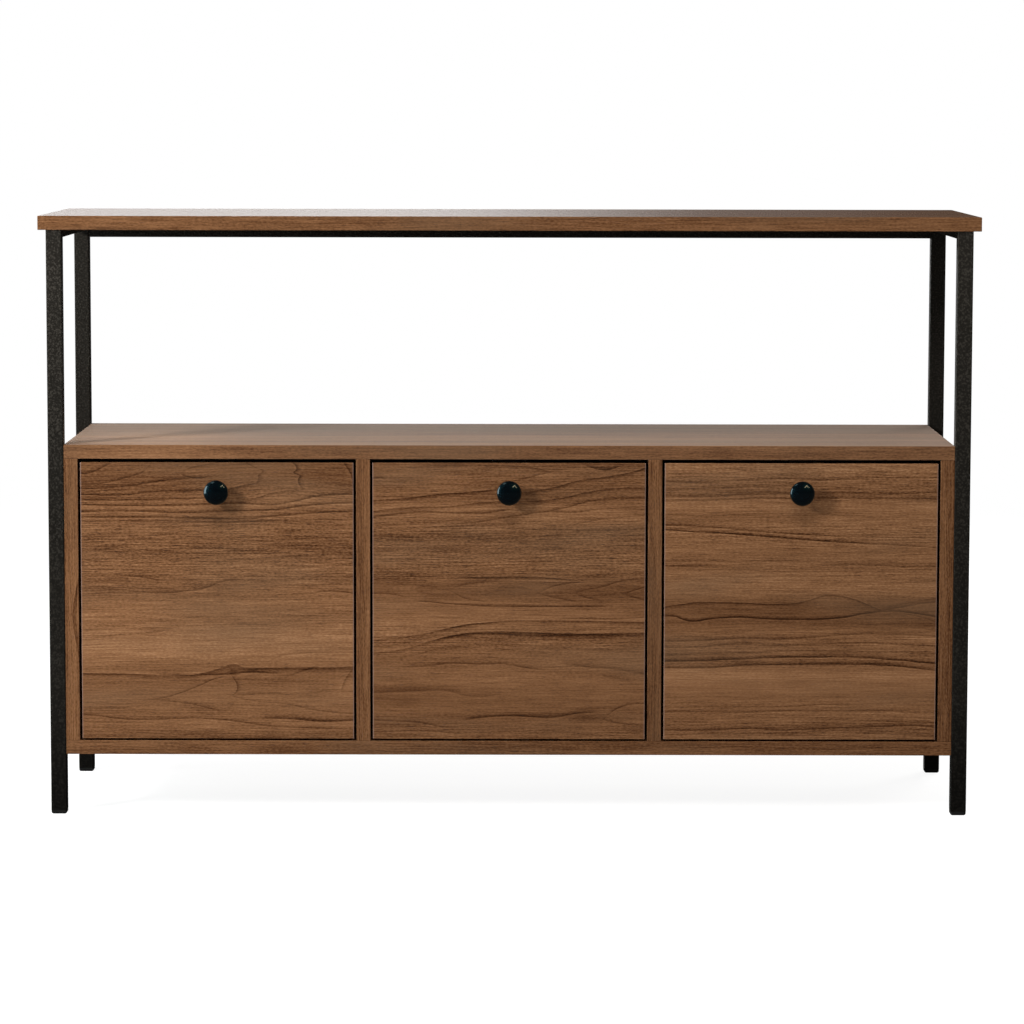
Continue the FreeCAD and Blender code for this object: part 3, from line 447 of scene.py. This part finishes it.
# ---------------------------------------------------------------- doors
# Three drop-front doors of the same board, banded on all four edges and hung on cup hinges.
# Each is cut from another stretch of the foil, so its figure is its own.
FIGURES = {
    1: {
        "tones": [(0, -0.11, 1.10), (30, -0.05, 1.00), (60, -0.01, 0.80), (90, -0.01, 0.90),
                  (106, 0.16, 1.00), (148, 0.13, 1.20), (172, 0.03, 1.10), (190, -0.01, 1.20),
                  (208, -0.02, 1.50), (228, -0.09, 1.70), (272, -0.01, 1.60), (290, 0.02, 1.20),
                  (312, -0.05, 1.40), (340, -0.13, 1.00)],
        "swells": [(250, 330, 90, 30, -10)],
        "strokes": [
            ([(0, 342), (12, 343), (28, 350), (42, 357)], 2.4, 0.25),
            ([(0, 328), (35, 331), (62, 338), (80, 344), (90, 354)], 2.0, 0.20),
            ([(0, 322), (35, 324), (75, 328), (105, 333), (130, 335), (162, 336)], 2.4, 0.25),
            ([(127, 343), (135, 339), (150, 337), (166, 338)], 1.6, 0.30),
            ([(127, 343), (135, 348), (150, 353), (176, 357)], -1.6, 0.25),
            ([(0, 315), (60, 315), (90, 319), (125, 320), (168, 321)], 2.0, 0.28),
            ([(0, 308), (75, 308), (150, 310), (168, 310)], 2.4, 0.30),
            ([(0, 302), (75, 301), (150, 302), (200, 304), (250, 303), (275, 307),
              (300, 313), (350, 316)], 2.4, 0.43),
            ([(0, 293), (60, 294), (125, 292), (200, 294), (250, 296), (285, 301),
              (350, 305)], 2.4, 0.43),
            ([(0, 286), (75, 286), (140, 285), (200, 284), (250, 288), (300, 292),
              (350, 294)], 2.4, 0.38),
            ([(0, 281), (100, 281), (200, 280), (260, 282), (350, 284)], 1.8, 0.25),
            ([(188, 323), (205, 327), (220, 330), (228, 333)], -1.8, 0.40),
            ([(200, 311), (225, 312), (245, 318), (262, 321), (286, 323)], -2.0, 0.33),
            ([(38, 213), (55, 211), (75, 209), (110, 203)], 1.8, 0.28),
            ([(0, 196), (30, 197), (60, 192)], -3.2, 0.18),
            ([(60, 191), (120, 189), (135, 191), (160, 195), (180, 203), (206, 206)], 2.0, 0.28),
            ([(235, 220), (275, 219), (320, 222)], 1.3, -0.18),
            ([(298, 189), (320, 191), (335, 190), (350, 188)], 2.0, 0.38),
            ([(322, 196), (335, 193), (350, 192)], 1.6, 0.22),
            ([(15, 130), (50, 134), (90, 137), (120, 143)], 2.4, 0.20),
            ([(0, 140), (60, 142), (125, 141)], 2.0, 0.15),
            ([(160, 101), (175, 108), (200, 117), (240, 121), (350, 124)], 1.6, 0.12),
            ([(240, 99), (255, 107), (275, 110), (350, 112)], 2.0, 0.15),
            ([(0, 85), (60, 84), (110, 82), (150, 84), (180, 92), (195, 97),
              (207, 93), (240, 92), (350, 94)], -3.2, 0.33),
            ([(96, 82), (125, 82), (142, 81)], 2.4, 0.28),
            ([(152, 82), (180, 83), (195, 84), (215, 86), (252, 84)], 2.4, 0.40),
            ([(265, 81), (280, 86), (295, 91), (308, 95)], 2.0, 0.20),
            ([(90, 50), (110, 54), (130, 60), (150, 68), (170, 77), (186, 80)], 1.6, 0.28),
            ([(90, 50), (115, 48), (140, 45), (160, 40), (180, 34)], 1.6, 0.22),
            ([(190, 56), (200, 53), (225, 48), (260, 45), (300, 37), (350, 32)], 1.8, 0.20),
            ([(204, 56), (240, 58), (264, 57)], 2.4, 0.20),
            ([(296, 60), (325, 62), (350, 61)], 2.0, 0.15),
            ([(0, 30), (20, 29), (40, 26), (80, 24), (150, 26), (200, 22),
              (240, 16), (280, 14), (350, 12)], 2.0, 0.28),
            ([(234, 26), (265, 26), (290, 24), (310, 22), (350, 24)], 3.2, 0.43),
            ([(0, 22), (20, 20), (60, 20), (82, 18)], 1.6, 0.15),
        ],
        "uprights": [
            ([(331, 226), (337, 228), (341, 228), (346, 233), (350, 224), (357, 211)], 2.8, 0.26),
            ([(323, 284), (329, 280), (336, 279), (340, 281), (344, 273),
              (349, 277), (357, 271)], 2.8, 0.34),
            ([(318, 350), (330, 349), (340, 347), (348, 343), (357, 337)], 2.8, 0.24),
            ([(56, 191), (62, 198), (70, 199), (78, 195), (84, 191)], 2.8, 0.26),
            ([(60, 333), (70, 335), (80, 340), (92, 349)], 2.8, 0.20),
        ],
        "patches": [(160, 345, 24, 6, 0.08), (316, 338, 30, 14, -0.07), (194, 88, 7, 6, -0.20),
                    (165, 66, 26, 9, 0.05), (280, 160, 90, 12, -0.05), (40, 342, 50, 9, -0.04),
                    (231, 342, 30, 8, 0.05), (230, 75, 44, 6, -0.06), (300, 62, 25, 9, -0.05),
                    (338, 68, 14, 14, 0.06), (278, 25, 36, 5, -0.06), (110, 40, 60, 8, 0.03)],
    },
    2: {
        "tones": [(0, 0.00, 1.20), (30, -0.08, 0.80), (50, -0.09, 0.60), (70, -0.06, 0.70),
                  (90, -0.05, 0.90), (109, 0.10, 1.00), (128, -0.02, 1.40), (149, 0.09, 1.00),
                  (162, 0.05, 0.80), (175, -0.01, 0.80), (188, -0.08, 0.70), (203, -0.07, 0.90),
                  (216, -0.09, 1.60), (252, -0.09, 1.70), (272, -0.03, 1.60), (296, -0.01, 1.10),
                  (330, -0.08, 1.20)],
        "strokes": [
            ([(0, 336), (8, 337), (18, 336)], 2.4, 0.41),
            ([(272, 354), (285, 350), (300, 348), (318, 354)], 2.4, 0.38),
            ([(92, 340), (120, 341), (148, 344)], 3.2, 0.14),
            ([(80, 357), (150, 355), (200, 352), (230, 345)], -1.6, 0.19),
            ([(183, 334), (200, 338), (215, 342), (230, 345)], 1.6, 0.26),
            ([(0, 309), (40, 312), (85, 317), (125, 320), (168, 325)], -2.4, 0.36),
            ([(190, 319), (210, 322), (240, 328), (260, 334), (300, 340),
              (325, 344), (350, 352)], -2.4, 0.31),
            ([(0, 295), (50, 300), (90, 301), (130, 305), (168, 308)], -2.4, 0.31),
            ([(196, 309), (240, 312), (275, 320), (310, 325), (350, 326)], -2.4, 0.31),
            ([(0, 286), (20, 289), (60, 293), (100, 292), (150, 293), (182, 298)], 2.4, 0.34),
            ([(216, 293), (250, 300), (275, 307), (300, 310), (350, 311)], 2.4, 0.24),
            ([(92, 277), (130, 280), (175, 287), (225, 294), (255, 293),
              (290, 297), (350, 297)], 2.0, 0.24),
            ([(36, 281), (92, 279)], 1.6, 0.17),
            ([(262, 279), (290, 284), (320, 287), (350, 290)], 1.8, 0.22),
            ([(92, 274), (140, 275), (190, 272), (240, 271), (300, 270), (350, 273)], 1.6, 0.19),
            ([(112, 211), (150, 210), (185, 211), (256, 207)], -1.9, 0.34),
            ([(36, 206), (120, 206), (190, 205), (294, 204)], 1.2, -0.22),
            ([(54, 193), (64, 197), (84, 200)], 1.6, 0.14),
            ([(54, 193), (66, 189), (84, 187)], 1.6, 0.14),
            ([(99, 192), (108, 197), (125, 201), (152, 203)], 1.6, 0.19),
            ([(99, 192), (106, 188), (120, 182), (146, 178)], 1.6, 0.19),
            ([(212, 189), (222, 194), (240, 200), (276, 204)], 1.9, 0.24),
            ([(212, 189), (222, 186), (240, 182), (264, 178)], 1.9, 0.22),
            ([(261, 188), (272, 193), (290, 196), (320, 205), (350, 208)], 1.8, 0.24),
            ([(261, 188), (272, 184), (292, 180)], 1.8, 0.19),
            ([(322, 188), (333, 192), (350, 197)], 1.6, 0.24),
            ([(322, 188), (335, 184), (350, 180)], 1.6, 0.22),
            ([(158, 196), (180, 196), (202, 194)], 2.4, 0.14),
            ([(0, 188), (20, 188), (42, 184)], 2.4, 0.19),
            ([(56, 179), (100, 175), (130, 173), (200, 172), (304, 172)], 1.6, 0.38),
            ([(0, 175), (100, 176), (254, 174)], 1.2, -0.14),
            ([(0, 128), (35, 132), (70, 138), (100, 145), (130, 150), (165, 153)], -2.1, 0.24),
            ([(90, 143), (130, 150), (165, 153), (240, 154), (350, 152)], -2.1, 0.34),
            ([(236, 156), (300, 156), (350, 158)], 1.6, 0.19),
            ([(0, 112), (44, 118), (82, 130), (125, 138)], -2.4, 0.19),
            ([(70, 126), (100, 134), (125, 138), (173, 139), (250, 137), (350, 138)], -3.2, 0.38),
            ([(22, 120), (45, 125), (72, 131)], 1.6, 0.19),
            ([(38, 106), (60, 110), (82, 117)], 1.6, 0.14),
            ([(42, 94), (75, 95), (100, 98), (130, 97), (170, 97), (200, 92),
              (222, 90)], 2.4, 0.26),
            ([(246, 96), (275, 94), (300, 92), (330, 88), (350, 84)], 3.2, 0.26),
            ([(288, 84), (320, 78), (350, 76)], 1.6, 0.14),
            ([(0, 60), (30, 61), (60, 62), (90, 63), (130, 55), (164, 58)], 4.0, 0.17),
            ([(118, 75), (150, 72), (180, 74), (204, 71)], 2.0, 0.10),
            ([(116, 24), (140, 28), (180, 30), (230, 28), (270, 34), (294, 34)], 3.2, 0.31),
            ([(297, 25), (305, 33), (315, 40), (330, 45), (350, 46)], 1.9, 0.26),
            ([(297, 25), (320, 20), (350, 18)], 2.0, 0.22),
            ([(0, 24), (25, 23), (60, 21), (80, 17), (112, 13)], 1.9, 0.24),
            ([(0, 9), (30, 10), (80, 9), (124, 5)], 2.0, 0.14),
            ([(8, 42), (30, 35), (62, 30)], 1.6, 0.12),
        ],
        "patches": [(298, 351, 14, 3, -0.12), (240, 133, 110, 6, -0.10), (320, 118, 30, 6, -0.10),
                    (276, 28, 18, 6, -0.14), (20, 138, 40, 6, 0.10), (300, 82, 52, 8, -0.08),
                    (150, 72, 60, 10, 0.05), (30, 56, 42, 8, -0.07), (290, 26, 60, 7, -0.06),
                    (310, 57, 40, 8, 0.05), (30, 18, 44, 5, -0.05), (150, 189, 45, 7, -0.05),
                    (290, 187, 40, 6, -0.04)],
    },
    3: {
        "tones": [(0, 0.10, 1.30), (30, 0.02, 1.10), (50, -0.02, 0.90), (62, 0.06, 0.60),
                  (84, 0.11, 0.70), (93, 0.06, 1.00), (106, 0.04, 1.20), (132, -0.06, 1.10),
                  (148, -0.12, 0.70), (158, -0.10, 0.70), (176, -0.08, 0.70), (188, 0.04, 1.00),
                  (226, 0.07, 1.20), (246, 0.14, 1.00), (264, 0.00, 1.50), (288, 0.01, 1.10),
                  (304, 0.14, 1.00), (320, 0.02, 1.40), (342, 0.07, 1.60)],
        "strokes": [
            ([(0, 333), (50, 332), (90, 334), (165, 337), (200, 336), (260, 338),
              (350, 338)], 1.9, 0.23),
            ([(0, 322), (60, 324), (150, 328), (168, 328)], 1.9, 0.21),
            ([(222, 326), (300, 324), (350, 326)], 1.6, 0.17),
            ([(0, 315), (60, 314), (110, 317), (168, 318)], 3.2, 0.25),
            ([(216, 320), (290, 318), (350, 320)], 1.9, 0.23),
            ([(0, 308), (70, 310), (130, 312), (160, 311), (230, 312), (300, 312),
              (350, 311)], 2.4, 0.25),
            ([(0, 277), (50, 275), (100, 271), (150, 267), (210, 264)], 2.4, 0.34),
            ([(200, 264), (260, 262), (350, 261)], 1.6, 0.17),
            ([(0, 271), (50, 268), (100, 265), (150, 261), (200, 257), (256, 254)], 2.1, 0.48),
            ([(244, 254), (300, 252), (350, 249)], 2.4, 0.29),
            ([(0, 230), (60, 231), (94, 229)], 2.4, 0.17),
            ([(0, 224), (40, 224), (74, 223)], 2.4, 0.23),
            ([(86, 230), (160, 231), (250, 228), (350, 228)], 1.9, 0.13),
            ([(196, 225), (260, 226), (310, 224), (350, 225)], 2.4, 0.25),
            ([(10, 212), (100, 211), (250, 212)], 1.6, 0.08),
            ([(0, 203), (60, 204), (114, 202)], 1.9, 0.17),
            ([(156, 206), (250, 204), (300, 203), (350, 206)], 1.6, 0.15),
            ([(0, 172), (20, 175), (45, 178), (90, 178), (165, 177), (185, 181),
              (205, 187), (225, 187), (245, 182), (270, 172), (280, 168)], -1.6, 0.29),
            ([(0, 160), (15, 159), (25, 155), (38, 153), (60, 156), (90, 158),
              (150, 156), (230, 158), (255, 163), (280, 166)], 2.1, 0.40),
            ([(274, 168), (300, 171), (320, 175), (350, 179)], 2.4, 0.29),
            ([(274, 166), (305, 166), (320, 164), (350, 159)], 2.4, 0.38),
            ([(284, 163), (310, 163), (350, 152)], 1.6, 0.15),
            ([(286, 172), (320, 178), (350, 183)], 1.6, 0.17),
            ([(0, 136), (60, 138), (110, 139), (240, 144), (300, 146), (350, 141)], -1.6, -0.12),
            ([(0, 127), (50, 128), (100, 131), (160, 130), (220, 135), (270, 137),
              (350, 134)], 2.4, 0.27),
            ([(0, 119), (50, 120), (90, 123), (160, 122), (250, 125), (350, 121)], 2.1, 0.25),
            ([(0, 109), (50, 110), (110, 112), (190, 115), (250, 114), (350, 112)], 1.9, 0.19),
            ([(0, 101), (50, 102), (90, 104), (130, 106), (200, 107), (250, 107),
              (300, 103), (350, 99)], 2.4, 0.44),
            ([(0, 93), (60, 93), (100, 96), (160, 97), (230, 98), (290, 96),
              (350, 90)], 2.4, 0.38),
            ([(0, 42), (60, 42), (120, 42), (150, 42), (200, 45), (246, 44)], 1.6, 0.17),
            ([(0, 35), (60, 36), (100, 35), (155, 37), (200, 37), (260, 37),
              (350, 36)], 2.4, 0.23),
            ([(0, 12), (60, 12), (110, 14), (150, 12), (200, 14), (260, 16),
              (320, 18), (350, 16)], 2.1, 0.29),
            ([(226, 26), (280, 24), (350, 22)], 1.6, 0.15),
            ([(0, 5), (80, 7), (204, 6)], 1.6, 0.11),
        ],
        "patches": [(215, 177, 20, 5, 0.06), (264, 169, 14, 6, -0.10), (338, 170, 20, 5, -0.06),
                    (100, 166, 120, 5, -0.03), (180, 99, 200, 3, -0.06), (60, 302, 100, 4, 0.06),
                    (290, 304, 60, 5, 0.06)],
    },
}
DOOR_STEEL = ["hinge_cups", "hinge_pins", "strike_plate", "stay_bracket", "stay_bar",
              "stay_eye"]

for number, figure in FIGURES.items():
    door = "door_" + str(number)
    face_with_walnut("walnut_" + door, door, X, Z, 10.0 + number, band_edge_and_highlight=0.5, **figure)
    dress(nickel, *[fitting + "_" + str(number) for fitting in DOOR_STEEL])
    dress(zinc, "door_fitting_screws_" + str(number), "knob_screw_" + str(number))


# ---------------------------------------------------------------- knobs
# Turned mushroom knobs with a low domed head on a waisted neck, in deep blue-black gloss
# enamel. Each is held by one screw from behind, through the door.
KNOB_PROFILE = [         # radius and distance from the door, in millimetres
    (0.0, 26.0), (4.0, 25.7), (8.0, 24.6), (11.5, 22.95), (14.0, 21.3), (15.2, 20.2),
    (15.8, 19.2), (15.95, 18.4), (15.6, 17.5), (14.6, 16.75), (12.6, 16.0), (10.6, 15.0),
    (9.0, 13.6), (7.5, 11.6), (6.1, 9.3), (5.6, 7.0), (6.2, 4.4), (7.3, 2.6),
    (7.95, 1.6), (8.0, 0.8), (8.0, 0.0),
]
KNOB_STEPS = 64
ENAMEL_DEPTH = 0.005 * MM

enamel, start = new_finish("enamel_blue_black")
place = start.node("TexCoord", {}, {}, "Object")
cloud = place.noise(90.0, 3.0)
colour = cloud.tint(rgb(0.0001, 0.0004, 0.0010), rgb(0.0002, 0.0006, 0.0016))
close_finish(start, colour, 0.34 + 0.05 * cloud, place.noise(260.0), ENAMEL_DEPTH,
             Specular_IOR_Level=0.80, Specular_Tint=rgb(0.10, 0.75, 1.0),
             Coat_Weight=1.0, Coat_Roughness=0.03, Coat_IOR=2.0)


def turned_knob(name, foot_x, foot_y, foot_z):
    """A knob turned about an axis that points forward from the middle of its foot."""
    made = bmesh.new()
    rings = []
    for radius, reach in KNOB_PROFILE:
        if radius == 0:
            rings.append([made.verts.new((foot_x, foot_y - reach * MM, foot_z))])
            continue
        ring = []
        for step in range(KNOB_STEPS):
            angle = 2 * math.pi * step / KNOB_STEPS
            x = foot_x + radius * MM * math.cos(angle)
            z = foot_z + radius * MM * math.sin(angle)
            ring.append(made.verts.new((x, foot_y - reach * MM, z)))
        rings.append(ring)
    for inner, outer in zip(rings, rings[1:]):
        for step in range(KNOB_STEPS):
            after = (step + 1) % KNOB_STEPS
            if len(inner) == 1:
                made.faces.new((inner[0], outer[step], outer[after]))
            else:
                made.faces.new((inner[step], outer[step], outer[after], inner[after]))
    made.faces.new(rings[-1])
    bmesh.ops.recalc_face_normals(made, faces=made.faces)
    mesh = bpy.data.meshes.new(name)
    made.to_mesh(mesh)
    made.free()
    for face in mesh.polygons:
        face.use_smooth = len(face.vertices) < KNOB_STEPS
    piece = bpy.data.objects.new(name, mesh)
    bpy.context.scene.collection.objects.link(piece)
    return piece


for number in FIGURES:
    node = "knob_" + str(number)
    low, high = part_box(node)
    middle = (low + high) / 2
    knob = turned_knob("knob_turned_" + str(number), middle.x, high.y, middle.z)
    knob.data.materials.append(enamel)
    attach(knob, "door_" + str(number))
    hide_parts(node)


# ---------------------------------------------------------------- studio
# A white floor that fades into a white surround. The light comes from a small lamp at the
# left, a wide one high in front, a tall one at the far left and one behind. Two cool strips at
# the left and two warm ones at the right are there for what the gloss shows of them.
FLOOR_SIZE = 60.0
FLOOR_LIT = 1.6          # the floor is plain and lit out to here
FLOOR_WHITE = 4.5        # from here on it is as white as the surround
WHITE = rgb(1, 1, 1)

floor_mesh = bpy.data.meshes.new("floor")
corners = [(-FLOOR_SIZE, -FLOOR_SIZE, 0), (FLOOR_SIZE, -FLOOR_SIZE, 0),
           (FLOOR_SIZE, FLOOR_SIZE, 0), (-FLOOR_SIZE, FLOOR_SIZE, 0)]
floor_mesh.from_pydata(corners, [], [(0, 1, 2, 3)])
floor = bpy.data.objects.new("floor", floor_mesh)
bpy.context.scene.collection.objects.link(floor)

# The camera sees a white floor with the credenza's shadow on it and the gloss sees a dark one,
# while the light of the lamps bounces off a grey one.
floor_paint, start = new_finish("floor_paint")
place = start.node("TexCoord", {}, {}, "Object")
away = place.node("VectorMath", {"operation": "LENGTH"}, {0: place})
seen = start.node("LightPath", {}, {})
matt = start.node("BsdfDiffuse", {}, {"Color": rgb(0.35, 0.35, 0.35)})
dim = start.node("Emission", {}, {"Color": WHITE, "Strength": 0.02})
shaded = start.node("BsdfDiffuse", {}, {"Color": rgb(0.25, 0.25, 0.25)})
glow = start.node("Emission", {}, {"Color": WHITE, "Strength": 0.90})
lit = start.node("AddShader", {}, {0: shaded, 1: glow})
white = start.node("Emission", {}, {"Color": WHITE, "Strength": 1.0})
unseen = start.node("MixShader", {}, {0: seen.beside("Is Glossy Ray"), 1: matt, 2: dim})
near = start.node("MixShader", {}, {0: seen, 1: unseen, 2: lit})
far_off = away.between(FLOOR_LIT, FLOOR_WHITE) * seen
shader = start.node("MixShader", {}, {0: far_off, 1: near, 2: white})
start.node("OutputMaterial", {}, {"Surface": shader})
floor_mesh.materials.append(floor_paint)

# The surround is white to the camera. What gloss reflects of it is white behind on the left,
# grey behind on the right, fainter higher up, and dark in front.
WORLD_LIGHT = 0.18
REFLECTED_FRONT = 0.012
world = bpy.data.worlds.new("surround")
bpy.context.scene.world = world
world.use_nodes = True
world.node_tree.nodes.clear()
start = Wire(world.node_tree)
right, rear, up = start.node("TexCoord", {}, {}, "Generated").axes()
across = 2.12 - 1.87 * right.between(-0.04, 0.06) - 0.17 * right.between(0.06, 0.11)
behind = across * (1.45 - 1.3 * up.between(0.02, 0.16))
reflected = REFLECTED_FRONT + rear.between(-0.05, 0.45) * (behind - REFLECTED_FRONT)
seen = start.node("LightPath", {}, {})
glossy = seen.beside("Is Glossy Ray")
strength = WORLD_LIGHT + glossy * (reflected - WORLD_LIGHT) + seen * (1.0 - WORLD_LIGHT)
back = start.node("Background", {}, {"Color": WHITE, "Strength": strength})
start.node("OutputWorld", {}, {"Surface": back})


def lamp(name, place, aim, width, height, power, colour, turn=0.0, in_gloss=True):
    """A soft lamp at a place, aimed at what it lights and then turned about that line."""
    light = bpy.data.lights.new(name, "AREA")
    light.shape = "RECTANGLE"
    light.size = width
    light.size_y = height
    light.energy = power
    light.color = colour
    made = bpy.data.objects.new(name, light)
    made.location = place
    aimed = (Vector(aim) - Vector(place)).to_track_quat("-Z", "Y")
    made.rotation_euler = (aimed @ Quaternion((0, 0, 1), math.radians(turn))).to_euler()
    made.visible_glossy = in_gloss
    made.visible_camera = False
    bpy.context.scene.collection.objects.link(made)


NEUTRAL = (1.0, 0.98, 0.95)
COOL = (0.80, 0.97, 1.0)
WARM = (1.0, 0.80, 0.48)
MIDDLE = (0.0, 0.0, 0.45)    # of the whole piece, which most lamps are aimed at

lamp("lamp_left", (-2.3, -2.0, 1.65), (0.0, 0.0, 0.42), 0.6, 0.6, 96.0, NEUTRAL, in_gloss=False)
lamp("lamp_over", (-0.4, -2.45, 4.0), (0.0, 0.0, 0.5), 3.0, 1.1, 116.0, (1.0, 0.985, 0.96),
     in_gloss=False)
lamp("lamp_far_left", (-3.3, -0.55, 0.8), MIDDLE, 1.2, 2.4, 46.0, COOL, in_gloss=False)
lamp("strip_left", (-3.1, -0.55, 0.8), MIDDLE, 1.2, 2.4, 18.0, COOL)
lamp("strip_top", (-1.7, -0.9, 3.4), MIDDLE, 1.5, 0.9, 2.0, (0.75, 1.0, 1.0))
lamp("lamp_right", (1.75, -2.3, 2.85), MIDDLE, 1.5, 0.15, 3.0, WARM, turn=28.0)
lamp("lamp_far_right", (2.65, -2.3, 2.75), MIDDLE, 1.3, 0.15, 2.3, WARM, turn=-50.0)
lamp("lamp_behind", (1.9, 2.7, 1.1), (0.0, 0.2, 0.45), 1.6, 1.4, 70.0, NEUTRAL, in_gloss=False)

CAMERA_PLACE = (0.0073, -5.199, 0.915)
CAMERA_DOWN = 5.919      # degrees below level
CAMERA_LEFT = 0.052      # degrees towards the left
CAMERA_ROLL = -0.103     # degrees about the line of sight
CAMERA_LENS = 139.1      # millimetres, on the standard 36 mm width

camera = bpy.data.objects.new("camera", bpy.data.cameras.new("camera"))
camera.data.lens = CAMERA_LENS
camera.location = CAMERA_PLACE
turns = (90 - CAMERA_DOWN, CAMERA_ROLL, CAMERA_LEFT)
camera.rotation_euler = [math.radians(turn) for turn in turns]
bpy.context.scene.collection.objects.link(camera)
bpy.context.scene.camera = camera
bpy.context.scene.view_settings.view_transform = "Standard"
